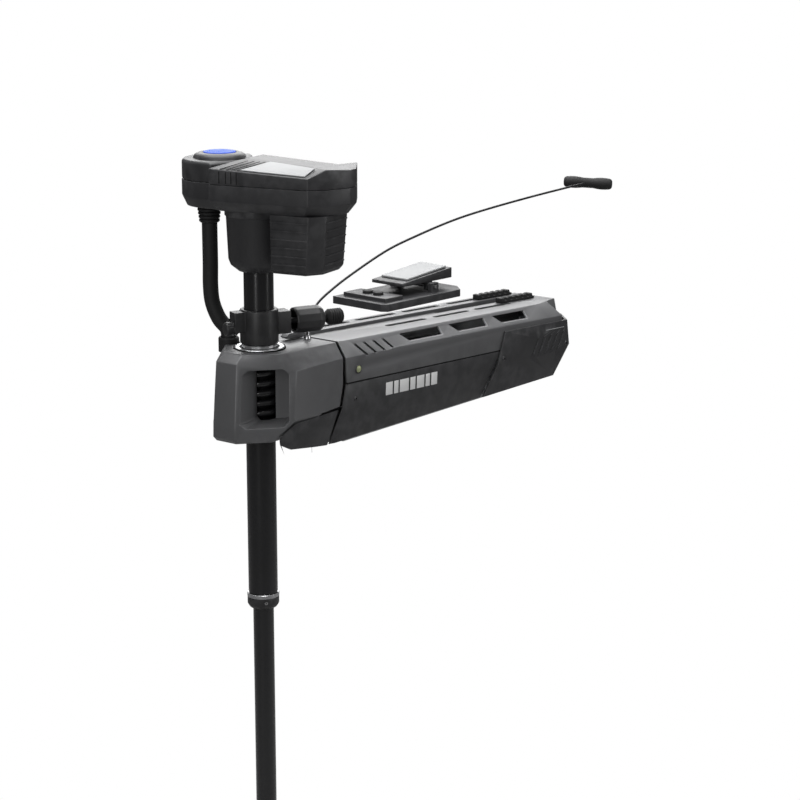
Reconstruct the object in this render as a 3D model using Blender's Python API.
"""Bow-mount electric-steer trolling motor: folding deck mount, shaft, head, lower unit and foot pedal.

Lengths below are in millimetres. X runs aft from the shaft's axis, Y to starboard and Z up from the
deck. The solids are written in metres, with the world's origin under the middle of the deck mount,
MOUNT_X aft of the shaft.
"""
from math import cos, pi, radians, sin

import bmesh
import bpy
from mathutils import Matrix, Vector

MM = 0.001
GAP = 0.3                     # clearance between touching pieces
MOUNT_X = 390.0               # shaft axis to the middle of the deck mount
ROUND = 24                    # sides of a large turned piece
SMALL_ROUND = 12              # sides of a small one

# Deck mount
TOP_Z, TOP_X, TOP_FALL = 134.0, 95.0, 0.047   # the top plane's height at TOP_X, and its fall per mm aft
TOP_HALF = 50.0               # half width of the flat top
SIDE_HALF = 72.0              # half width of the body
BEVEL_DROP = 17.5             # from the top plane down to the bevel's lower edge
SEAM_Z, SEAM_FALL = 82.0, 0.045
BEND_Z, COVER_LOW, COVER_HALF = 49.0, 4.0, 61.0
WALL = 3.0
TAIL_X = 616.0
TRAY_FRONT, TRAY_AFT, TRAY_FLOOR, TRAY_HALF = 100.0, 566.0, 6.0, 54.0

# Lift arm, in the groove of the top
ARM_Y = 12.0
GROOVE_HALF = 11.5
ARM_HALF = 10.6
ARM_CAVITY = 7.6
PIVOT_Z = 95.0
SWING_X, TILT_X = 393.0, 120.0
PIN_R = 4.5
BASE_PULLEY_R, NOSE_PULLEY_R = 7.0, 14.0      # one to two, so the nose turns half as far as the arm
BELT_THICK = 1.6

# Shaft
OUTER_R, OUTER_BORE = 19.05, 16.4
INNER_R, INNER_BORE = 13.5, 11.0
OUTER_LOW, OUTER_HIGH = -190.0, 323.0
INNER_LOW, INNER_HIGH = -862.0, 341.0
CHAMBER_R = 33.5
COLLAR_LOW, COLLAR_HIGH, COLLAR_R = 142.0, 187.0, 24.6
CLAMP_YAW = radians(-25.0)    # the clamp points aft and a little to port
CLAMP_Z = 167.0

# Head, in its own plan axes: U towards the wide end, V aft
HEAD_YAW = radians(11.0)
HEAD_LOW, HEAD_FULL, HEAD_PART, HEAD_HIGH = 317.0, 330.0, 350.3, 376.0
END_U, END_R = -52.0, 50.0    # the round end
DOME_U = -54.0
GLAND_U = -71.0
PINION_U = 39.0
BLOCK_HALF = [(-33.0, 62.0), (104.0, 56.0), (121.0, 40.0), (137.0, 8.0)]   # half plan of the wide end
LID_NEAR, LID_FAR = 370.0, 364.8              # the lid's side edge at each end of its slope
RIDGE_Z, RIDGE_FALL = 380.27, 0.0632          # the lid's ridge at its round end, and its fall per mm
RIDGE_HALF = [(-2.0, 10.0), (-2.0, 19.0), (102.0, 24.0), (114.0, 18.0), (126.0, 4.0)]

# Lower unit
POD_Z, POD_R = -910.0, 46.0

# Pull cord, and where it leaves the nose
CORD_R = 1.6
CORD_X, CORD_Y = 80.0, -12.0
CORD_ROUTE = [(0, 0, 0), (7, 2, 13), (27, 6, 31), (58, 6, 46), (104, 6, 62), (174, 6, 82), (237, 6, 93),
              (320, 6, 104), (398, 6, 110), (507, 6, 115), (620, 6, 118.5), (655, 6, 119)]

# Foot pedal, on the deck beside the mount
PEDAL_X, PEDAL_Y, PEDAL_YAW = 800.0, 430.0, radians(-4.0)
PEDAL_LONG, PEDAL_WIDE = 215.0, 122.0
PIVOT_ALONG = PEDAL_LONG * 0.62 + 9.0
BUTTON_R, BUTTON_LOW, BUTTON_HIGH = 9.0, 16.0, 25.0
BUTTON_PLACES = [(36.0, PEDAL_WIDE / 2 + side * 12.0) for side in (-1, 1)]

FINISHES = {
    "cast_grey": ((0.20, 0.20, 0.21), 0.42, 0.6),
    "cover_black": ((0.045, 0.045, 0.048), 0.50, 0.0),
    "tube_black": ((0.012, 0.012, 0.013), 0.28, 0.2),
    "head_plastic": ((0.04, 0.04, 0.042), 0.50, 0.0),
    "rubber": ((0.015, 0.015, 0.015), 0.75, 0.0),
    "spring_steel": ((0.02, 0.02, 0.02), 0.20, 0.5),
    "steel": ((0.60, 0.60, 0.62), 0.25, 1.0),
    "aluminium": ((0.55, 0.56, 0.58), 0.35, 1.0),
    "blue": ((0.05, 0.12, 0.60), 0.35, 0.0),
    "board_green": ((0.03, 0.20, 0.08), 0.55, 0.0),
    "copper": ((0.60, 0.28, 0.12), 0.35, 1.0),
    "lens": ((0.75, 0.80, 0.60), 0.15, 0.0),
    "panel_grey": ((0.45, 0.46, 0.47), 0.45, 0.0),
}


def clear_scene() -> None:
    """Remove every object already in the scene."""
    for old in list(bpy.data.objects):
        bpy.data.objects.remove(old, do_unlink=True)


def finish(name: str) -> bpy.types.Material:
    """Return the named finish, making it the first time."""
    material = bpy.data.materials.get(name)
    if material is None:
        colour, roughness, metallic = FINISHES[name]
        material = bpy.data.materials.new(name)
        material.use_nodes = True
        shader = material.node_tree.nodes["Principled BSDF"]
        shader.inputs["Base Color"].default_value = (*colour, 1.0)
        shader.inputs["Roughness"].default_value = roughness
        shader.inputs["Metallic"].default_value = metallic
    return material


def world(x: float, y: float, z: float) -> Vector:
    """Turn a place measured from the shaft's axis in millimetres into world metres."""
    return Vector((x - MOUNT_X, y, z)) * MM


def top_z(x: float) -> float:
    """Height of the sloping top plane at x."""
    return TOP_Z - TOP_FALL * (x - TOP_X)


def nose_top_z(x: float) -> float:
    """Height of the nose's own, flatter top at x."""
    return top_z(91.0) + 0.02 * (91.0 - x)


def seam_z(x: float) -> float:
    """Height of the seam between the top shells and the side covers at x."""
    return SEAM_Z - SEAM_FALL * (x - TILT_X)


class Joint:
    """An empty on a joint's axis, which carries the pieces of one moving body."""

    def __init__(self, name: str, at: tuple, parent: "Joint | None" = None):
        self.empty = bpy.data.objects.new(name, None)
        bpy.context.collection.objects.link(self.empty)
        self.place = world(*at)
        self.empty.location = self.place - (parent.place if parent else Vector())
        if parent:
            self.empty.parent = parent.empty

    def carry(self, *pieces: bpy.types.Object) -> None:
        """Hang the pieces on the empty without moving their shapes."""
        for piece in pieces:
            if piece.type == "CURVE":
                for spline in piece.data.splines:
                    for point in spline.points:
                        point.co.xyz = point.co.xyz - self.place
            else:
                piece.data.transform(Matrix.Translation(-self.place))
            piece.parent = self.empty


def add_mesh(name: str, bm: bmesh.types.BMesh, material: str, smooth: float = 35.0) -> bpy.types.Object:
    """Make an object from a closed bmesh, with its faces pointing out."""
    bmesh.ops.remove_doubles(bm, verts=bm.verts, dist=1e-6)
    bmesh.ops.recalc_face_normals(bm, faces=bm.faces)
    bmesh.ops.triangulate(bm, faces=[face for face in bm.faces if len(face.verts) == 4])
    mesh = bpy.data.meshes.new(name)
    bm.to_mesh(mesh)
    bm.free()
    mesh.shade_smooth()
    mesh.set_sharp_from_angle(angle=radians(smooth))
    mesh.materials.append(finish(material))
    obj = bpy.data.objects.new(name, mesh)
    bpy.context.collection.objects.link(obj)
    return obj


def loft(name: str, rings: list, material: str) -> bpy.types.Object:
    """Skin a row of rings, each with the same number of points, and cap both ends."""
    bm = bmesh.new()
    rows = [[bm.verts.new(world(*point)) for point in ring] for ring in rings]
    count = len(rows[0])
    for low, high in zip(rows, rows[1:]):
        for i in range(count):
            j = (i + 1) % count
            bm.faces.new((low[i], low[j], high[j], high[i]))
    bm.faces.new(rows[0])
    bm.faces.new(rows[-1])
    return add_mesh(name, bm, material)


def prism(name: str, outline: list, low: float, high: float, axis: str, material: str) -> bpy.types.Object:
    """Extrude a flat outline from low to high along axis.

    The outline holds (y, z) for axis x, (x, z) for axis y and (x, y) for axis z.
    """
    place = {
        "x": lambda a, b, c: (c, a, b),
        "y": lambda a, b, c: (a, c, b),
        "z": lambda a, b, c: (a, b, c),
    }[axis]
    return loft(name, [[place(a, b, end) for a, b in outline] for end in (low, high)], material)


def block(name: str, low: tuple, high: tuple, material: str) -> bpy.types.Object:
    """Make a box between two corners."""
    outline = [(low[0], low[1]), (high[0], low[1]), (high[0], high[1]), (low[0], high[1])]
    return prism(name, outline, low[2], high[2], "z", material)


def turned(name: str, profile: list, at: tuple, axis: tuple, material: str, sides: int = ROUND):
    """Spin a closed (radius, height) profile round an axis through a place."""
    bm = bmesh.new()
    verts = [bm.verts.new(Vector((radius, 0.0, height)) * MM) for radius, height in profile]
    edges = [bm.edges.new((a, b)) for a, b in zip(verts, verts[1:])]
    if profile[0][0] > 0.0:
        edges.append(bm.edges.new((verts[-1], verts[0])))
    bmesh.ops.spin(bm, geom=verts + edges, cent=(0, 0, 0), axis=(0, 0, 1), angle=2 * pi, steps=sides)
    turn = Vector(axis).to_track_quat("Z", "X").to_matrix().to_4x4()
    bmesh.ops.transform(bm, matrix=Matrix.Translation(world(*at)) @ turn, verts=bm.verts)
    return add_mesh(name, bm, material)


def ring_profile(inner: float, outer: float, low: float, high: float, chamfer: float = 0.0) -> list:
    """Profile of a plain ring, with its outer edges chamfered."""
    if chamfer == 0.0:
        return [(inner, high), (outer, high), (outer, low), (inner, low)]
    return [(inner, high), (outer - chamfer, high), (outer, high - chamfer), (outer, low + chamfer),
            (outer - chamfer, low), (inner, low)]


def disc_profile(outer: float, low: float, high: float, chamfer: float = 0.0) -> list:
    """Profile of a plain disc or rod, with its edges chamfered."""
    if chamfer == 0.0:
        return [(0.0, high), (outer, high), (outer, low), (0.0, low)]
    return [(0.0, high), (outer - chamfer, high), (outer, high - chamfer), (outer, low + chamfer),
            (outer - chamfer, low), (0.0, low)]


def boolean(target: bpy.types.Object, tools: list, operation: str = "DIFFERENCE") -> None:
    """Cut or join tools, which are then kept only as hidden guides."""
    for tool in tools:
        tool.hide_render = True
        tool.display_type = "WIRE"
        modifier = target.modifiers.new(tool.name, "BOOLEAN")
        modifier.operation = operation
        modifier.object = tool


def arc(x: float, y: float, radius: float, start: float, end: float, steps: int) -> list:
    """Points of an arc round (x, y), from start to end in degrees."""
    angles = [radians(start + (end - start) * i / steps) for i in range(steps + 1)]
    return [(x + radius * cos(a), y + radius * sin(a)) for a in angles]


def mirrored(half: list) -> list:
    """Complete a half outline, given as (x, y) with y positive, by its mirror image."""
    return [(x, -y) for x, y in half] + [(x, y) for x, y in reversed(half)]


def smooth_points(route: list, spacing: float) -> list:
    """Sample a Catmull-Rom curve through the route's points at even steps."""
    points = [Vector(p) for p in route]
    ends = [2 * points[0] - points[1]] + points + [2 * points[-1] - points[-2]]
    fine = []
    for a, b, c, d in zip(ends, ends[1:], ends[2:], ends[3:]):
        for i in range(24):
            t = i / 24
            fine.append(0.5 * (2 * b + (c - a) * t + (2 * a - 5 * b + 4 * c - d) * t * t
                               + (3 * b - a - 3 * c + d) * t ** 3))
    fine.append(points[-1])
    total = sum((q - p).length for p, q in zip(fine, fine[1:]))
    step = total / max(2, round(total / spacing))
    samples, travelled, wanted = [fine[0]], 0.0, step
    for p, q in zip(fine, fine[1:]):
        length = (q - p).length
        while travelled + length >= wanted and wanted < total - step / 2:
            samples.append(p.lerp(q, (wanted - travelled) / length))
            wanted += step
        travelled += length
    samples.append(fine[-1])
    return samples


def cable(name: str, points: list, radius: float, material: str) -> bpy.types.Object:
    """Make a round cable as a bevelled curve along the points."""
    curve = bpy.data.curves.new(name, "CURVE")
    curve.dimensions = "3D"
    curve.bevel_depth = radius * MM
    curve.bevel_resolution = 2
    curve.use_fill_caps = True
    spline = curve.splines.new("POLY")
    spline.points.add(len(points) - 1)
    for place, point in zip(points, spline.points):
        point.co = (*world(*place), 1.0)
    curve.materials.append(finish(material))
    obj = bpy.data.objects.new(name, curve)
    bpy.context.collection.objects.link(obj)
    return obj


def head_xy(u: float, v: float) -> tuple:
    """Turn the head's plan axes into X and Y."""
    return (u * sin(HEAD_YAW) + v * cos(HEAD_YAW), -u * cos(HEAD_YAW) + v * sin(HEAD_YAW))


def clamp_point(along: float, across: float = 0.0) -> tuple:
    """Place on the collar's clamp axis, in X and Y."""
    return (along * cos(CLAMP_YAW) - across * sin(CLAMP_YAW), along * sin(CLAMP_YAW) + across * cos(CLAMP_YAW))


def pedal_xy(along: float, across: float) -> tuple:
    """Turn the pedal's own axes into X and Y."""
    return (PEDAL_X + along * cos(PEDAL_YAW) - across * sin(PEDAL_YAW),
            PEDAL_Y + along * sin(PEDAL_YAW) + across * cos(PEDAL_YAW))


def gear_outline(x: float, y: float, tip: float, depth: float, teeth: int) -> list:
    """Outline of a toothed wheel with flat-topped teeth."""
    points = []
    for tooth in range(teeth):
        for share, radius in ((0.0, tip - depth), (0.5, tip - depth), (0.6, tip), (0.9, tip)):
            angle = 2 * pi * (tooth + share) / teeth
            points.append((x + radius * cos(angle), y + radius * sin(angle)))
    return points


# ---------------------------------------------------------------- deck mount

def build_tray() -> bpy.types.Object:
    """The fixed aluminium tray: a floor with the two walls that hold the lift arm."""
    inner, outer = GROOVE_HALF + WALL + 1.0, GROOVE_HALF + 2 * WALL + 1.0
    wall_top = top_z(TRAY_AFT) - 2 * WALL
    outline = [(-TRAY_HALF, 0.0), (TRAY_HALF, 0.0), (TRAY_HALF, TRAY_FLOOR),
               (ARM_Y + outer, TRAY_FLOOR), (ARM_Y + outer, wall_top), (ARM_Y + inner, wall_top),
               (ARM_Y + inner, TRAY_FLOOR), (ARM_Y - inner, TRAY_FLOOR), (ARM_Y - inner, wall_top),
               (ARM_Y - outer, wall_top), (ARM_Y - outer, TRAY_FLOOR), (-TRAY_HALF, TRAY_FLOOR)]
    tray = prism("base_tray", outline, TRAY_FRONT, TRAY_AFT, "x", "aluminium")
    bolts = [turned(f"bolt_hole_{i}", disc_profile(3.5, -5.0, 15.0), (x, y, 0.0), (0, 0, 1), "steel", 12)
             for i, (x, y) in enumerate((x, y) for x in (150.0, 350.0, 540.0) for y in (-44.0, 44.0))]
    pin_hole = turned("swing_pin_hole", disc_profile(PIN_R + GAP, -60.0, 60.0),
                      (SWING_X, ARM_Y, PIVOT_Z), (0, 1, 0), "steel", SMALL_ROUND)
    boolean(tray, bolts + [pin_hole])
    return tray


def shell_ring(x: float, top_half: float, side_half: float, lean: float, side: int) -> list:
    """Cross-section of one top shell at x: groove wall, flat top, bevel and side; lean tips it round the bevel."""
    groove = ARM_Y + side * GROOVE_HALF
    high, low = top_z(x), seam_z(x)
    bevel = high - BEVEL_DROP
    corner = side * top_half
    out = side * side_half
    thick = side * WALL
    back = x - lean * 0.25
    return [(x + lean, groove, high), (x + lean, corner, high), (back, out, bevel), (x, out, low),
            (x, out - thick, low), (back, out - thick, bevel - 1.2), (x + lean, corner - side, high - WALL),
            (x + lean, groove + thick, high - WALL), (x + lean, groove + thick, 84.0), (x + lean, groove, 84.0)]


def slot_cutter(name: str, start: float, end: float, y: float, half: float) -> bpy.types.Object:
    """A long round-ended cutter through the top."""
    outline = arc(end - half, y, half, -90.0, 90.0, 4) + arc(start + half, y, half, 90.0, 270.0, 4)
    return prism(name, outline, 90.0, 150.0, "z", "rubber")


def build_top_shell(name: str, side: int) -> bpy.types.Object:
    """One half of the grey upper housing, with its slots, louvres and recesses."""
    rings = [shell_ring(x, top, out, lean, side) for x, top, out, lean in (
        (88.0, TOP_HALF, SIDE_HALF, 7.5), (110.0, TOP_HALF, SIDE_HALF, 0.0), (550.0, TOP_HALF, SIDE_HALF, 0.0),
        (584.0, 43.0, SIDE_HALF - 0.5, 0.0), (TAIL_X, 36.0, 40.0, 0.0))]
    shell = loft(name, rings, "cast_grey")
    wall_x = TAIL_X - WALL
    end = [(ARM_Y + side * (GROOVE_HALF + 1.0), 84.5), (ARM_Y + side * (GROOVE_HALF + 1.0), top_z(TAIL_X) - 1.0),
           (side * 35.0, top_z(TAIL_X) - 1.0), (side * 38.5, top_z(TAIL_X) - BEVEL_DROP), (side * 38.5, 64.0),
           (ARM_Y + side * (GROOVE_HALF + 1.0), 64.0)]
    boolean(shell, [prism(name + "_end_wall", end, wall_x, TAIL_X - 0.2, "x", "cast_grey")], "UNION")
    if side < 0:
        slots = [(238.0, 327.0, -17.0), (345.0, 427.0, -17.0), (442.0, 528.0, -17.0)]
    else:
        slots = [(158.0, 228.0, 40.0), (243.0, 330.0, 40.0), (347.0, 432.0, 40.0), (452.0, 529.0, 40.0)]
    cutters = [slot_cutter(f"{name}_slot_{i}", *slot, 4.4) for i, slot in enumerate(slots)]
    for i in range(4):
        x = 113.0 + 19.0 * i
        outline = [(x, 140.0), (x + 5.0, 140.0), (x + 19.0, 113.0), (x + 14.0, 113.0)]
        edge = sorted((side * 56.0, side * 80.0))
        cutters.append(prism(f"{name}_louvre_{i}", outline, edge[0], edge[1], "y", "rubber"))
    for i, (start, finish_x) in enumerate(((219.0, 306.0), (329.0, 410.0), (432.0, 508.0))):
        drop = top_z(start) - 4.0
        outline = [(start, drop), (finish_x, drop - 3.8), (finish_x - 5.0, drop - 13.0), (start + 9.0, drop - 9.5)]
        edge = sorted((side * 52.0, side * 80.0))
        cutters.append(prism(f"{name}_recess_{i}", outline, edge[0], edge[1], "y", "rubber"))
    if side < 0:
        cutters.append(turned("lens_hole", disc_profile(5.0 + GAP, -10.0, 10.0), (111.0, -SIDE_HALF, 98.0),
                              (0, 1, 0), "lens", SMALL_ROUND))
    cutters.append(turned(name + "_pin_hole", disc_profile(PIN_R + GAP, -60.0, 60.0), (SWING_X, ARM_Y, PIVOT_Z),
                          (0, 1, 0), "steel", SMALL_ROUND))
    boolean(shell, cutters)
    return shell


def build_side_cover(name: str, side: int) -> bpy.types.Object:
    """One black lower side cover, with a slanting bevelled front and a draft below its bend line."""
    def ring(xs: tuple, inset: float) -> list:
        top = seam_z(xs[0]) - 2.0
        outer = [(xs[0], SIDE_HALF - inset, top), (xs[1], SIDE_HALF - inset, BEND_Z),
                 (xs[2], COVER_HALF - inset, COVER_LOW)]
        inner = [(x, y - WALL + inset * 0.6, z) for x, y, z in reversed(outer)]
        return [(x, side * y, z) for x, y, z in outer + inner]
    return loft(name, [ring((88.5, 80.0, 66.0), 2.5), ring((97.0, 88.5, 74.5), 0.0),
                       ring((432.0, 416.0, 396.0), 0.0)], "cover_black")


def build_tail_cover() -> bpy.types.Object:
    """The wrap-round tail cover: two sides and a back, with slanting grooves and a notch for the arm."""
    def level(z: float, front: float, half: float, corner: float, back: float) -> list:
        def path(inset: float) -> list:
            return mirrored([(front, half - inset), (corner - inset * 0.5, half - inset),
                             (back - inset, half * 0.5 - inset)])
        slope = 0.05 if z > BEND_Z else 0.0
        ring = path(0.0) + list(reversed(path(WALL)))
        return [(x, y, z - slope * (x - front)) for x, y in ring]

    cover = loft("tail_cover", [level(COVER_LOW, 399.0, 64.5, 574.0, 606.0),
                                level(BEND_Z, 419.0, 75.6, 598.0, 634.0),
                                level(94.0, 437.0, 75.6, 592.0, 632.0)], "cover_black")
    cutters = [block("arm_notch", (600.0, ARM_Y - 14.0, 56.0), (650.0, ARM_Y + 14.0, 110.0), "rubber")]
    for side in (-1, 1):
        for i in range(5):
            x = 516.0 + 16.0 * i
            outline = [(x, 70.0), (x + 4.5, 70.0), (x - 33.0, 13.0), (x - 37.5, 13.0)]
            edge = sorted((side * 74.2, side * 80.0))
            groove = prism(f"tail_groove_{side}_{i}", outline, edge[0], edge[1], "y", "rubber")
            cutters.append(groove)
    boolean(cover, cutters)
    return cover


def build_cradle() -> bpy.types.Object:
    """The fixed cradle that the nose rests on, with a wing under each of its lower edges."""
    def ring(x: float, low_half: float, low: float, high_half: float, high: float) -> list:
        return [(x, -low_half, low), (x, low_half, low), (x, high_half, high), (x, -high_half, high)]

    cradle = loft("front_cradle", [ring(41.0, 50.0, 9.0, 51.0, 47.0), ring(61.0, 51.0, 4.0, 52.0, 48.0),
                                   ring(98.5, 52.0, 3.0, 56.0, 48.0)], "cover_black")
    wings = []
    for side in (-1, 1):
        rings = [[(-23.0, 53.0, 30.0), (-20.0, 51.6, 19.0), (-20.0, 50.8, 19.0), (-23.0, 50.9, 25.5)],
                 [(-8.0, 66.0, 48.0), (-4.0, 56.0, 11.0), (-4.0, 50.8, 11.0), (-8.0, 50.9, 26.0)],
                 [(39.0, 68.5, 49.5), (39.0, 59.0, 6.0), (39.0, 50.8, 6.0), (39.0, 50.9, 26.0)],
                 [(73.0, 70.5, 51.0), (61.0, 60.5, 4.0), (61.0, 46.0, 4.0), (62.0, 46.0, 44.0)]]
        wings.append(loft(f"cradle_wing_{side}", [[(x, side * y, z) for x, y, z in ring] for ring in rings],
                          "cover_black"))
    boolean(cradle, wings, "UNION")
    return cradle


def build_rest_pad(name: str, y: float) -> bpy.types.Object:
    """A ribbed rubber pad that the stowed nose comes down on."""
    start, pitch, ribs = 512.0, 14.0, 6
    outline = [(start, top_z(start) + GAP)]
    for i in range(ribs):
        x = start + pitch * i
        outline += [(x, top_z(x) + 8.0), (x + pitch * 0.55, top_z(x) + 8.0),
                    (x + pitch * 0.7, top_z(x) + 3.0), (x + pitch, top_z(x) + 3.0)]
    end = start + pitch * ribs
    outline.append((end, top_z(end) + GAP))
    return prism(name, outline, y - 5.5, y + 5.5, "y", "rubber")


def build_mount() -> None:
    """The whole fixed mount."""
    build_tray()
    build_top_shell("port_top_shell", -1)
    build_top_shell("starboard_top_shell", 1)
    build_side_cover("port_side_cover", -1)
    build_side_cover("starboard_side_cover", 1)
    build_tail_cover()
    build_cradle()
    build_rest_pad("port_rest_pad", ARM_Y - 20.5)
    build_rest_pad("starboard_rest_pad", ARM_Y + 20.5)
    turned("status_lens", [(0.0, 3.0), (3.5, 2.6), (5.0, 1.2), (5.0, -3.0), (0.0, -3.0)],
           (111.0, -SIDE_HALF, 98.0), (0, -1, 0), "lens", SMALL_ROUND)
    reach = GROOVE_HALF + 2 * WALL + 1.0
    turned("swing_pin", disc_profile(PIN_R, -reach, reach, 0.8), (SWING_X, ARM_Y, PIVOT_Z), (0, 1, 0),
           "steel", SMALL_ROUND)
    turned("base_pulley", ring_profile(PIN_R + GAP, BASE_PULLEY_R, -3.4, 3.4), (SWING_X, ARM_Y, PIVOT_Z),
           (0, 1, 0), "steel", SMALL_ROUND)


# ---------------------------------------------------------------- lift arm

def build_arm(swing: Joint) -> None:
    """The channel-shaped lift arm with its belt and the nose's pin."""
    outline = [(TILT_X, PIVOT_Z - 16.0), (SWING_X, PIVOT_Z - 16.0)]
    outline += arc(SWING_X, PIVOT_Z, 16.0, -60.0, 30.0, 3)
    outline += [(396.0, top_z(396.0) - 4.0), (106.0, top_z(106.0) - 4.0), (104.0, PIVOT_Z)]
    arm = prism("lift_arm", outline, ARM_Y - ARM_HALF, ARM_Y + ARM_HALF, "y", "cover_black")
    cavity = block("arm_cavity", (90.0, ARM_Y - ARM_CAVITY, 60.0), (403.0, ARM_Y + ARM_CAVITY, PIVOT_Z + 17.5),
                   "rubber")
    holes = [turned(f"arm_pin_hole_{i}", disc_profile(PIN_R + GAP, -40.0, 40.0), (x, ARM_Y, PIVOT_Z), (0, 1, 0),
                    "steel", SMALL_ROUND) for i, x in enumerate((SWING_X, TILT_X))]
    boolean(arm, [cavity] + holes)
    pin = turned("tilt_pin", disc_profile(PIN_R, -ARM_HALF, ARM_HALF, 0.5), (TILT_X, ARM_Y, PIVOT_Z), (0, 1, 0),
                 "steel", SMALL_ROUND)
    reach = SWING_X - TILT_X
    wrap = 90.0 + (NOSE_PULLEY_R - BASE_PULLEY_R) / reach * 180.0 / pi

    def loop(extra: float) -> list:
        left = arc(TILT_X, PIVOT_Z, NOSE_PULLEY_R + extra, 180.0 - wrap, 180.0 + wrap, 12)
        right = arc(SWING_X, PIVOT_Z, BASE_PULLEY_R + extra, wrap - 180.0, 180.0 - wrap, 10)
        return left + right

    belt = prism("tilt_belt", loop(GAP + BELT_THICK), ARM_Y - 2.8, ARM_Y + 2.8, "y", "rubber")
    inside = prism("belt_inside", loop(GAP), ARM_Y - 10.0, ARM_Y + 10.0, "y", "rubber")
    boolean(belt, [inside])
    swing.carry(arm, pin, belt)


# ---------------------------------------------------------------- nose

FACET_START, FACET_END = (-67.0, -17.7), (-8.0, -66.0)


def nose_ring(front: tuple, corner: tuple, aft: tuple) -> list:
    """One level of the six-sided nose, from three corners given with y positive."""
    half = [front, corner, aft]
    return [(x, -y, z) for x, y, z in half] + [(x, y, z) for x, y, z in reversed(half)]


def facet_point(along: float, out: float, z: float) -> tuple:
    """Place on the port front facet: along it from its front corner, and out from its face."""
    start, end = Vector(FACET_START), Vector(FACET_END)
    run = (end - start).normalized()
    normal = Vector((run.y, -run.x))
    place = start + run * along + normal * out
    return (place.x, place.y, z)


def build_nose(tilt: Joint) -> None:
    """The cast nose, its bearings, spring seats and spring, and the fixed end of the head's cable."""
    casting = loft("nose_casting", [
        nose_ring((-66.0, 16.0, 24.5), (-30.0, 46.0, 24.5), (34.0, 46.0, 24.5)),
        nose_ring((-70.0, 18.4, 30.0), (-27.0, 50.0, 30.0), (38.0, 50.0, 30.0)),
        nose_ring((-69.5, 18.2, 50.0), (-10.0, 66.0, 51.0), (39.0, 70.0, 52.0)),
        nose_ring((-69.0, 18.0, 53.0), (-10.0, 66.0, 53.0), (73.0, 72.0, 55.0)),
        nose_ring((-67.0, 17.7, 80.0), (-8.0, 66.0, 80.0), (80.0, 72.0, 82.0)),
        nose_ring((-63.3, 17.0, 126.5), (-5.0, 66.0, 115.5), (80.5, 72.0, 118.0)),
        nose_ring((-50.0, 14.5, nose_top_z(-50.0)), (-10.0, 49.0, nose_top_z(-10.0)), (91.0, 50.5, nose_top_z(91.0))),
    ], "cast_grey")
    tongues = []
    for i, y in enumerate((ARM_Y - 5.4, ARM_Y + 5.4)):
        outline = [(80.0, PIVOT_Z - 12.0), (TILT_X, PIVOT_Z - 12.0)]
        outline += arc(TILT_X, PIVOT_Z, 12.0, -60.0, 90.0, 5) + [(80.0, PIVOT_Z + 12.0)]
        tongues.append(prism(f"tongue_{i}", outline, y - 1.6, y + 1.6, "y", "cast_grey"))
    boolean(casting, tongues, "UNION")
    chamber = turned("spring_chamber", disc_profile(CHAMBER_R, 30.0, 170.0), (0, 0, 0), (0, 0, 1), "rubber")
    bore = turned("nose_bore", disc_profile(OUTER_R + 0.5, 0.0, 60.0), (0, 0, 0), (0, 0, 1), "rubber")
    window = loft("spring_window", [
        [facet_point(along, out, z) for along, z in
         ((a0, z0 + c), (a0 + c, z0), (a1 - c, z0), (a1, z0 + c), (a1, z1 - c), (a1 - c, z1), (a0 + c, z1), (a0, z1 - c))]
        for out, a0, a1, z0, z1, c in ((2.0, 4.5, 67.5, 43.5, 118.0, 7.0), (-26.0, 33.5, 76.0, 50.0, 118.0, 5.0))
    ], "rubber")
    pin_hole = turned("tongue_hole", disc_profile(PIN_R + GAP, -30.0, 30.0), (TILT_X, ARM_Y, PIVOT_Z), (0, 1, 0),
                      "steel", SMALL_ROUND)
    grommet_hole = turned("grommet_hole", disc_profile(13.4 + GAP, -8.0, 30.0), (-2.0, 47.0 + 4.0, 132.0),
                          (0, 0, 1), "rubber", 20)
    boolean(casting, [chamber, bore, window, pin_hole, grommet_hole])
    pulley = turned("nose_pulley", ring_profile(PIN_R + GAP, NOSE_PULLEY_R, -3.2, 3.2),
                    (TILT_X, ARM_Y, PIVOT_Z), (0, 1, 0), "steel", 24)
    cap = turned("bearing_cap", ring_profile(COLLAR_R + 1.0, 32.3, 128.0, 138.0, 1.0), (0, 0, 0), (0, 0, 1), "aluminium")
    wire, mean, low, high, turns = 4.6, 26.8, 35.0, 118.6, 6.5
    steps = round(turns * 10)
    spring = cable("shock_spring", [(mean * cos(2 * pi * i / 10), mean * sin(2 * pi * i / 10),
                                     low + (high - low) * i / steps) for i in range(steps + 1)], wire, "spring_steel")
    grommet = turned("cable_grommet", ring_profile(10.6, 13.4, -7.0, 12.0, 1.5), (-2.0, 51.0, 132.0), (0, 0, 1),
                     "rubber", 20)
    tilt.carry(casting, pulley, cap, spring, grommet)


def build_latch(lever: Joint) -> None:
    """The small release lever on the nose."""
    base = nose_top_z(70.0) + GAP
    outline = [(52.0, base + 5.0), (56.0, base + 2.5), (78.0, base + 0.6), (88.0, base + 0.6), (88.0, base + 8.0),
               (80.0, base + 9.0), (58.0, base + 9.5)]
    lever.carry(prism("latch_lever", outline, -1.0, 11.0, "y", "cast_grey"))


# ---------------------------------------------------------------- depth collar

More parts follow.
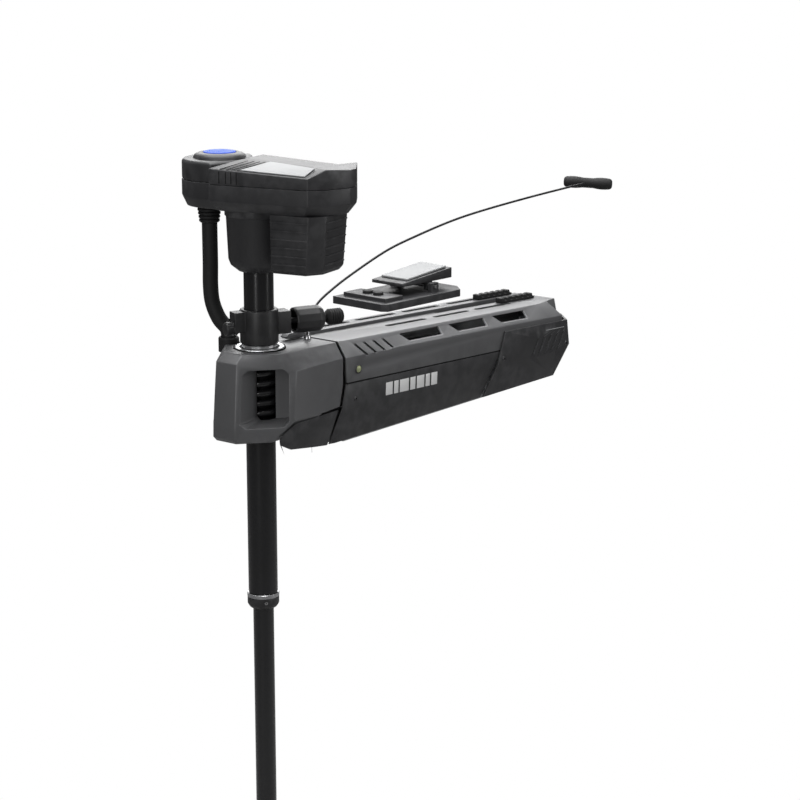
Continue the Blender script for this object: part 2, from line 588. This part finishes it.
def build_collar(shock: Joint, knob: Joint) -> None:
    """The depth collar on its spring cap, and the clamp that locks it to the tube."""
    cap = turned("spring_cap", [(OUTER_R + 0.35, 141.7), (22.6, 141.7), (22.6, 127.6), (32.0, 127.6),
                                (32.0, 123.6), (OUTER_R + 0.35, 123.6)], (0, 0, 0), (0, 0, 1), "steel")
    collar = turned("depth_collar", ring_profile(OUTER_R + 0.35, COLLAR_R, COLLAR_LOW, COLLAR_HIGH, 1.5),
                    (0, 0, 0), (0, 0, 1), "cover_black")

    def clamp_block(name: str, start: float, end: float, half: float, low: float, high: float):
        corners = [clamp_point(start, -half), clamp_point(end, -half), clamp_point(end, half),
                   clamp_point(start, half)]
        return prism(name, corners, low, high, "z", "cover_black")

    boolean(collar, [clamp_block("collar_lug", 21.5, 40.0, 11.0, CLAMP_Z - 14.0, CLAMP_Z + 15.0),
                     clamp_block("collar_ear", -37.0, -21.5, 9.0, CLAMP_Z - 8.0, CLAMP_Z + 18.0)], "UNION")
    axis = (cos(CLAMP_YAW), sin(CLAMP_YAW), 0.0)
    start = (0.0, 0.0, CLAMP_Z)
    screw_hole = turned("clamp_screw_hole", disc_profile(4.3, 25.0, 60.0), start, axis, "steel", SMALL_ROUND)
    boolean(collar, [screw_hole])
    disc = turned("rear_clamp_disc", disc_profile(9.0, -48.0, -30.0, 2.0), (0.0, 0.0, CLAMP_Z - 3.0), axis,
                  "cover_black", 20)
    boolean(collar, [disc], "UNION")
    shock.carry(cap, collar)
    screw = turned("clamp_screw", disc_profile(4.0, 26.0, 80.0), start, axis, "steel", SMALL_ROUND)
    cup = turned("clamp_cup", [(3.5, 87.0), (13.0, 87.0), (17.5, 80.0), (17.5, 50.0), (16.3, 47.0), (14.0, 47.0),
                               (13.5, 73.0), (3.5, 73.0)], start, axis, "cover_black", 10)
    knob_piece = turned("clamp_knob", [(0.0, 116.0), (8.0, 116.0), (10.2, 113.0), (10.2, 98.0), (8.5, 95.0),
                                       (5.5, 92.0), (5.5, 87.3), (0.0, 87.3)], start, axis, "rubber", 20)
    boolean(cup, [screw], "UNION")
    knob.carry(cup, knob_piece)


# ---------------------------------------------------------------- shaft and head

def head_outline(inset: float, block: float | None = None) -> list:
    """Plan of the head: a round end joined to a wider block with a blunt, faceted end."""
    step = inset if block is None else block
    half = arc(END_U, 0.0, END_R - inset, 180.0, 90.0, 6) + [(-36.0, END_R + 1.0 - inset)]
    half += [(BLOCK_HALF[0][0] + step, BLOCK_HALF[0][1] - step)]
    half += [(u - step, v - step) for u, v in BLOCK_HALF[1:3]]
    half.append((BLOCK_HALF[3][0] - step, BLOCK_HALF[3][1] - step * 0.3))
    return [head_xy(u, v) for u, v in mirrored(half)[:-1]]


def ridge_z(u: float) -> float:
    """Height of the lid's ridge at u."""
    return RIDGE_Z - RIDGE_FALL * (u - RIDGE_HALF[0][0])


def lid_slope_z(u: float, v: float) -> float:
    """Height of the lid's sloping side, on the plane through its side edge and its ridge, at (u, -v)."""
    edge_a = Vector((*BLOCK_HALF[0], LID_NEAR))
    edge_b = Vector((*BLOCK_HALF[1], LID_FAR))
    ridge = Vector((*RIDGE_HALF[2], ridge_z(RIDGE_HALF[2][0])))
    normal = (edge_b - edge_a).cross(ridge - edge_a)
    return edge_a.z - (normal.x * (u - edge_a.x) + normal.y * (v - edge_a.y)) / normal.z


def build_tube_set(depth: Joint) -> None:
    """The outer tube and the bearing at its foot."""
    tube = turned("outer_tube", ring_profile(OUTER_BORE, OUTER_R, OUTER_LOW, OUTER_HIGH), (0, 0, 0), (0, 0, 1),
                  "tube_black", 32)
    ring = turned("retaining_ring", ring_profile(13.9, 20.9, -196.0, -190.3, 0.8), (0, 0, 0), (0, 0, 1), "steel")
    bearing = turned("bottom_bearing", [(13.8, -196.3), (20.7, -196.3), (20.7, -205.0), (17.5, -210.0),
                                        (13.8, -210.0)], (0, 0, 0), (0, 0, 1), "rubber")
    depth.carry(tube, ring, bearing)


def build_lid() -> list:
    """The roof-shaped lid over the wide end, and the display panel on its port slope."""
    plan = [(-18.0, 22.0)] + BLOCK_HALF

    def ring(half: list, heights: list) -> list:
        return [(*head_xy(u, v), z) for (u, v), z in zip(mirrored(half), heights + list(reversed(heights)))]

    lid = loft("head_lid", [ring(plan, [HEAD_PART + GAP] * 5),
                            ring(plan, [HEAD_HIGH, LID_NEAR, LID_FAR, 375.5, 372.5]),
                            ring(RIDGE_HALF, [ridge_z(u) for u, v in RIDGE_HALF])], "head_plastic")
    inner = [(-14.0, 18.0), (-28.0, 57.5), (101.0, 52.0), (117.0, 37.5), (132.0, 6.0)]
    inner_ridge = [(3.0, 8.0), (3.0, 15.0), (98.0, 20.0), (109.0, 14.0), (119.0, 3.0)]
    hollow = loft("lid_hollow", [ring(inner, [HEAD_PART - 10.0] * 5), ring(inner, [366.0, 361.0, 357.0, 365.0, 364.0]),
                                 ring(inner_ridge, [ridge_z(u) - 3.6 for u, v in inner_ridge])], "rubber")
    boolean(lid, [hollow])
    corners = [(10.0, 57.0), (98.0, 52.6), (98.5, 27.5), (34.0, 24.0)]
    panel = loft("display_panel", [[(*head_xy(u, -v), lid_slope_z(u, v) + lift) for u, v in corners]
                                   for lift in (GAP, GAP + 1.2)], "panel_grey")
    return [lid, panel]


def build_head(depth: Joint, pinion: Joint, button: Joint) -> None:
    """The steering head: shells, boss, servo case, dome, panel and what they hold."""
    lower = loft("head_lower_shell", [[(x, y, z) for x, y in head_outline(inset, block)]
                                      for z, inset, block in ((HEAD_LOW, 6.0, 10.0), (HEAD_FULL, 0.0, 0.0),
                                                              (HEAD_PART, 0.0, 0.0))], "head_plastic")
    hollow = loft("head_lower_hollow", [[(x, y, z) for x, y in head_outline(inset, block)]
                                        for z, inset, block in ((HEAD_LOW + WALL + 0.5, 10.0, 14.0),
                                                                (HEAD_FULL + 4.0, 4.0, 4.0),
                                                                (HEAD_PART + 10.0, 4.0, 4.0))], "rubber")
    tube_hole = turned("head_tube_hole", disc_profile(OUTER_R + GAP, 300.0, 330.0), (0, 0, 0), (0, 0, 1), "steel")
    motor_x, motor_y = head_xy(PINION_U, 0.0)
    motor_hole = turned("head_motor_hole", disc_profile(6.0, 300.0, 330.0), (motor_x, motor_y, 0), (0, 0, 1),
                        "steel", SMALL_ROUND)
    gland_x, gland_y = head_xy(GLAND_U, 0.0)
    gland_hole = turned("head_gland_hole", disc_profile(9.0, 300.0, 330.0), (gland_x, gland_y, 0), (0, 0, 1),
                        "steel", SMALL_ROUND)
    boolean(lower, [hollow, tube_hole, motor_hole, gland_hole])

    def end_plan(inset: float) -> list:
        half = arc(END_U, 0.0, END_R - inset, 180.0, 90.0, 6) + [(-36.0 - inset, END_R + 1.0 - inset),
                                                                (-18.8 - inset, 22.0)]
        return [head_xy(u, v) for u, v in mirrored(half)[:-1]]

    upper = loft("head_upper_shell", [[(x, y, z) for x, y in end_plan(inset)]
                                      for z, inset in ((HEAD_PART + GAP, 0.4), (HEAD_HIGH - 3.0, 0.4),
                                                       (HEAD_HIGH, 3.0))], "head_plastic")
    cover_hollow = loft("head_upper_hollow", [[(x, y, z) for x, y in end_plan(inset)]
                                              for z, inset in ((HEAD_PART - 10.0, 4.0), (HEAD_HIGH - 6.0, 4.0),
                                                               (HEAD_HIGH - 3.2, 6.0))], "rubber")
    dome_x, dome_y = head_xy(DOME_U, 0.0)
    stem_hole = turned("dome_stem_hole", disc_profile(5.0, 360.0, 390.0), (dome_x, dome_y, 0), (0, 0, 1), "steel",
                       SMALL_ROUND)
    boolean(upper, [cover_hollow, stem_hole])

    dome = turned("dome_ring", [(21.0, 6.6), (27.0, 6.0), (31.5, 3.8), (33.5, 0.0), (21.0, 0.0)],
                  (dome_x, dome_y, HEAD_HIGH + GAP), (0, 0, 1), "head_plastic")
    boss = turned("tube_boss", [(OUTER_R + GAP, HEAD_LOW - GAP), (41.5, HEAD_LOW - GAP), (41.5, 307.0), (39.8, 306.0),
                                (37.6, 252.0), (35.0, 245.0), (24.0, 236.0), (OUTER_R + GAP, 236.0)], (0, 0, 0),
                  (0, 0, 1), "head_plastic")

    def case_ring(z: float, near: float, half: float, back: float) -> list:
        corners = mirrored([(back, half), (near - 14.0, half), (near, half - 20.0)])
        return [(*head_xy(u, v), z) for u, v in corners]

    case = loft("servo_case", [case_ring(z, near, half, 44.5) for z, near, half in (
        (242.0, 105.0, 40.0), (248.0, 109.0, 45.0), (HEAD_LOW - GAP, 114.0, 47.0))], "head_plastic")
    case_hollow = loft("servo_case_hollow", [case_ring(z, near - 4.0, half - 4.0, 48.0) for z, near, half in (
        (249.0, 108.0, 44.0), (340.0, 114.0, 47.0))], "rubber")
    boolean(case, [case_hollow])
    motor = turned("steering_motor", disc_profile(21.0, 252.0, 300.0, 2.0), (*head_xy(76.0, 0.0), 0), (0, 0, 1),
                   "steel", 20)
    board = prism("control_panel_board", [head_xy(u, v) for u, v in mirrored([(52.0, 38.0), (98.0, 38.0)])],
                  HEAD_PART - 8.0, HEAD_PART - 6.4, "z", "board_green")
    gland_profile = [(10.3, HEAD_LOW - GAP), (16.0, HEAD_LOW - GAP), (16.0, HEAD_LOW - 4.0)]
    for i in range(4):
        z = HEAD_LOW - 6.0 - 4.6 * i
        radius = 15.0 - 0.6 * i
        gland_profile += [(radius - 2.0, z), (radius, z - 1.0), (radius, z - 3.4)]
    gland_profile += [(11.5, HEAD_LOW - 24.6), (10.3, HEAD_LOW - 24.6)]
    gland = turned("cable_gland", gland_profile, (gland_x, gland_y, 0), (0, 0, 1), "rubber", 16)
    depth.carry(lower, upper, *build_lid(), dome, boss, case, motor, board, gland)

    pinion.carry(prism("steer_pinion", gear_outline(motor_x, motor_y, 10.0, 2.0, 8), 326.0, 336.0, "z", "steel"))
    button.carry(turned("power_button", [(0.0, 8.6), (14.0, 8.3), (20.6, 7.2), (20.6, 2.8), (4.5, 2.8),
                                         (4.5, -6.0), (0.0, -6.0)], (dome_x, dome_y, HEAD_HIGH + GAP), (0, 0, 1),
                        "blue"))


def build_head_cable(depth: Joint) -> None:
    """The thick cable from the head's gland down to the nose."""
    top_x, top_y = head_xy(GLAND_U, 0.0)
    route = [(top_x, top_y, HEAD_LOW - 0.8), (top_x, top_y, 280.0), (top_x, top_y, 240.0), (top_x, top_y + 0.5, 210.0),
             (top_x + 1.0, top_y - 1.5, 188.0), (-9.0, 61.0, 168.0), (-3.4, 53.2, 156.0), (-2.0, 51.2, 148.0),
             (-2.0, 51.0, 138.0)]
    depth.carry(cable("head_cable", smooth_points(route, 8.0), 10.0, "rubber"))


# ---------------------------------------------------------------- lower unit

def build_lower_unit(steer: Joint, prop: Joint) -> None:
    """The steered inner tube, the pod with its motor, and the propeller."""
    tube = turned("lower_tube", ring_profile(INNER_BORE, INNER_R, INNER_LOW, INNER_HIGH), (0, 0, 0), (0, 0, 1),
                  "tube_black")
    gear = prism("steer_gear", gear_outline(0.0, 0.0, 28.4, 2.0, 24), 326.0, 336.0, "z", "steel")
    gear_bore = turned("steer_gear_bore", disc_profile(INNER_R + GAP, 320.0, 340.0), (0, 0, 0), (0, 0, 1), "steel")
    boolean(gear, [gear_bore])
    centre = (0.0, 0.0, POD_Z)
    aft = (1, 0, 0)
    housing = turned("pod_housing", [(41.5, 112.0), (POD_R, 110.0), (POD_R, -94.0), (41.5, -96.0)], centre, aft,
                     "tube_black")
    neck = turned("pod_neck", [(INNER_R + GAP, 70.0), (20.0, 70.0), (24.0, 60.0), (28.0, 42.6), (28.0, 34.0),
                               (INNER_R + GAP, 34.0)], centre, (0, 0, 1), "tube_black", 24)
    skeg_outline = [(-30.0, POD_Z - 43.0), (70.0, POD_Z - 43.0), (62.0, POD_Z - 130.0), (34.0, POD_Z - 148.0),
                    (14.0, POD_Z - 138.0)]
    skeg = prism("pod_skeg", skeg_outline, -3.0, 3.0, "y", "tube_black")
    boolean(housing, [neck, skeg], "UNION")
    pod_bore = turned("pod_bore", disc_profile(41.5, -120.0, 130.0), centre, aft, "steel")
    boolean(housing, [pod_bore])
    nose_cone = turned("nose_cone", [(0.0, -96.3), (POD_R - 0.5, -96.3), (44.0, -112.0), (38.0, -132.0),
                                     (26.0, -150.0), (10.0, -161.0), (0.0, -163.0)], centre, aft, "tube_black")
    end_bell = turned("end_bell", [(8.6, 140.0), (26.0, 140.0), (40.0, 126.0), (POD_R - 0.5, 112.3), (8.6, 112.3)],
                      centre, aft, "tube_black")
    stator = turned("stator", ring_profile(27.5, 41.0, -60.0, 60.0), centre, aft, "copper")
    steer.carry(tube, gear, housing, nose_cone, end_bell, stator)

    rotor = turned("rotor", ring_profile(8.4, 26.8, -58.0, 58.0), centre, aft, "steel")
    shaft = turned("motor_shaft", disc_profile(8.0, -80.0, 192.0, 1.0), centre, aft, "steel", 20)
    hub = turned("propeller", [(8.5, 190.0), (20.0, 190.0), (27.0, 176.0), (29.0, 148.0), (27.0, 142.0),
                               (8.5, 142.0)], centre, aft, "cover_black", 24)
    blades = []
    for number in range(3):
        turn = 2 * pi * number / 3
        rings = []
        for reach, chord, pitch, thick in ((24.0, 40.0, 58.0, 6.0), (60.0, 58.0, 42.0, 4.6),
                                           (100.0, 56.0, 31.0, 3.4), (132.0, 30.0, 25.0, 2.0)):
            a = radians(pitch)
            ring = []
            for along, over in ((-0.5, 0.0), (-0.25, 0.5), (0.2, 0.5), (0.5, 0.0), (0.2, -0.5), (-0.25, -0.5)):
                lead, side = along * chord, over * thick
                x = 166.0 + lead * sin(a) + side * cos(a)
                across = lead * cos(a) - side * sin(a)
                ring.append((x, reach * cos(turn) - across * sin(turn),
                             POD_Z + reach * sin(turn) + across * cos(turn)))
            rings.append(ring)
        blades.append(loft(f"blade_{number}", rings, "cover_black"))
    boolean(hub, blades, "UNION")
    nut = turned("propeller_nut", [(0.0, 206.0), (9.0, 206.0), (13.0, 200.0), (13.0, 192.3), (0.0, 192.3)], centre,
                 aft, "steel", 6)
    prop.carry(rotor, shaft, hub, nut)


# ---------------------------------------------------------------- pull cord

def build_cord(cord: Joint) -> None:
    """The stow cord, standing in a long arc, with its ferrule and hand grip."""
    base = top_z(CORD_X)
    foot = base + 10.4
    ferrule = turned("cord_ferrule", [(0.0, 9.7), (2.6, 9.7), (4.2, 5.0), (5.0, 0.0), (0.0, 0.0)],
                     (CORD_X, CORD_Y, base), (0, 0, 1), "steel", SMALL_ROUND)
    route = [(CORD_X + along, CORD_Y + aside, foot + up) for along, aside, up in CORD_ROUTE]
    line = cable("pull_cord", smooth_points(route, 12.0), CORD_R, "rubber")
    end_x, end_y, end_z = route[-1]
    grip_axis = Vector((0.60, -0.80, -0.06)).normalized()
    grip = turned("cord_handle", [(0.0, 37.0), (5.0, 36.5), (8.0, 33.0), (9.0, 20.0), (7.6, 8.0), (7.6, -8.0),
                                  (9.0, -20.0), (8.0, -33.0), (5.0, -36.5), (0.0, -37.0)],
                  (end_x + 11.5, end_y, end_z), tuple(grip_axis), "rubber", 20)
    cord.carry(ferrule, line, grip)


# ---------------------------------------------------------------- foot pedal

def pedal_slab(name: str, half_plan: list, low: float, high: float, material: str) -> bpy.types.Object:
    """An upright slab on a plan given in the pedal's own axes."""
    return prism(name, [pedal_xy(a, b) for a, b in half_plan], low, high, "z", material)


def build_pedal(treadle: Joint, buttons: list) -> None:
    """The foot pedal: a base, a rocking treadle with a toe pad, its pin and its buttons."""
    w, n = PEDAL_WIDE, PEDAL_LONG
    base = pedal_slab("pedal_base", [(8.0, 0.0), (n - 20.0, 0.0), (n, 24.0), (n, w - 20.0), (n - 20.0, w),
                                     (0.0, w), (0.0, 10.0)], 0.0, 13.0, "cover_black")
    ears = []
    for i, across in enumerate((12.0, w - 22.0)):
        ears.append(pedal_slab(f"pedal_ear_{i}", [(n * 0.62, across), (n * 0.62 + 18.0, across),
                                                  (n * 0.62 + 18.0, across + 10.0), (n * 0.62, across + 10.0)],
                               10.0, 30.0, "cover_black"))
    boolean(base, ears, "UNION")
    pivot_x, pivot_y = pedal_xy(PIVOT_ALONG, 0.0)
    side_axis = (-sin(PEDAL_YAW), cos(PEDAL_YAW), 0.0)
    bore = turned("pedal_pin_bore", disc_profile(3.5 + GAP, -10.0, w + 10.0), (pivot_x, pivot_y, 23.0), side_axis,
                  "steel", SMALL_ROUND)
    boolean(base, [bore])
    boolean(base, [pedal_slab("button_plate", [(14.0, 12.0), (58.0, 12.0), (58.0, w - 12.0), (14.0, w - 12.0)],
                              12.0, 20.0, "panel_grey")], "UNION")
    pockets = [turned(f"button_pocket_{i + 1}", disc_profile(BUTTON_R + GAP, 12.0, 30.0), (*pedal_xy(*place), 0.0),
                      (0, 0, 1), "rubber", 20) for i, place in enumerate(BUTTON_PLACES)]
    boolean(base, pockets)
    turned("pedal_pin", disc_profile(3.5, 10.0, w - 10.0, 0.5), (pivot_x, pivot_y, 23.0), side_axis, "steel",
           SMALL_ROUND)

    def profile(front: float, aft: float, low: float, high_front: float, high_aft: float) -> list:
        return [(front, low), (aft, low), (aft, high_aft), (front, high_front)]

    rings = []
    for across in (25.0, w - 25.0):
        rings.append([(*pedal_xy(along, across), z) for along, z in
                      profile(72.0, n - 14.0, 30.0, 36.0, 48.0)])
    plate = loft("treadle", rings, "cover_black")
    lugs = []
    for i, across in enumerate((25.0, w - 33.0)):
        lugs.append(pedal_slab(f"treadle_lug_{i}", [(n * 0.62 + 2.0, across), (n * 0.62 + 16.0, across),
                                                    (n * 0.62 + 16.0, across + 8.0), (n * 0.62 + 2.0, across + 8.0)],
                               16.0, 34.0, "cover_black"))
    boolean(plate, lugs, "UNION")
    boolean(plate, [bore])
    pad_rings = []
    for across in (31.0, w - 31.0):
        pad_rings.append([(*pedal_xy(along, across), z) for along, z in
                          ((90.0, 37.9), (n - 22.0, 47.8), (n - 22.0, 51.5), (90.0, 41.6))])
    pad = loft("toe_pad", pad_rings, "rubber")
    treadle.carry(plate, pad)
    for i, (button, place) in enumerate(zip(buttons, BUTTON_PLACES)):
        button.carry(turned(f"pedal_button_{i + 1}", disc_profile(BUTTON_R, BUTTON_LOW, BUTTON_HIGH, 1.2),
                            (*pedal_xy(*place), 0.0), (0, 0, 1), "rubber", 20))


def main() -> None:
    """Build every piece on its body."""
    clear_scene()
    build_mount()
    swing = Joint("arm_swing_axis", (SWING_X, ARM_Y, PIVOT_Z))
    tilt = Joint("nose_tilt_axis", (TILT_X, ARM_Y, PIVOT_Z), swing)
    lever = Joint("latch_axis", (84.0, 5.0, top_z(84.0) + 5.0), tilt)
    shock = Joint("shock_axis", (0.0, 0.0, COLLAR_LOW), tilt)
    knob = Joint("clamp_axis", (0.0, 0.0, CLAMP_Z), shock)
    depth = Joint("depth_axis", (0.0, 0.0, 0.0), tilt)
    pinion = Joint("pinion_axis", (*head_xy(PINION_U, 0.0), 331.0), depth)
    button = Joint("power_button_axis", (*head_xy(DOME_U, 0.0), HEAD_HIGH), depth)
    steer = Joint("steer_axis", (0.0, 0.0, 0.0), depth)
    prop = Joint("propeller_axis", (0.0, 0.0, POD_Z), steer)
    cord = Joint("cord_axis", (CORD_X, CORD_Y, top_z(CORD_X)), tilt)
    build_arm(swing)
    build_nose(tilt)
    build_latch(lever)
    build_collar(shock, knob)
    build_tube_set(depth)
    build_head(depth, pinion, button)
    build_head_cable(depth)
    build_lower_unit(steer, prop)
    build_cord(cord)
    treadle = Joint("treadle_axis", (*pedal_xy(PIVOT_ALONG, 0.0), 23.0))
    buttons = [Joint(f"pedal_button_axis_{i + 1}", (*pedal_xy(*place), 20.0)) for i, place in enumerate(BUTTON_PLACES)]
    build_pedal(treadle, buttons)


main()
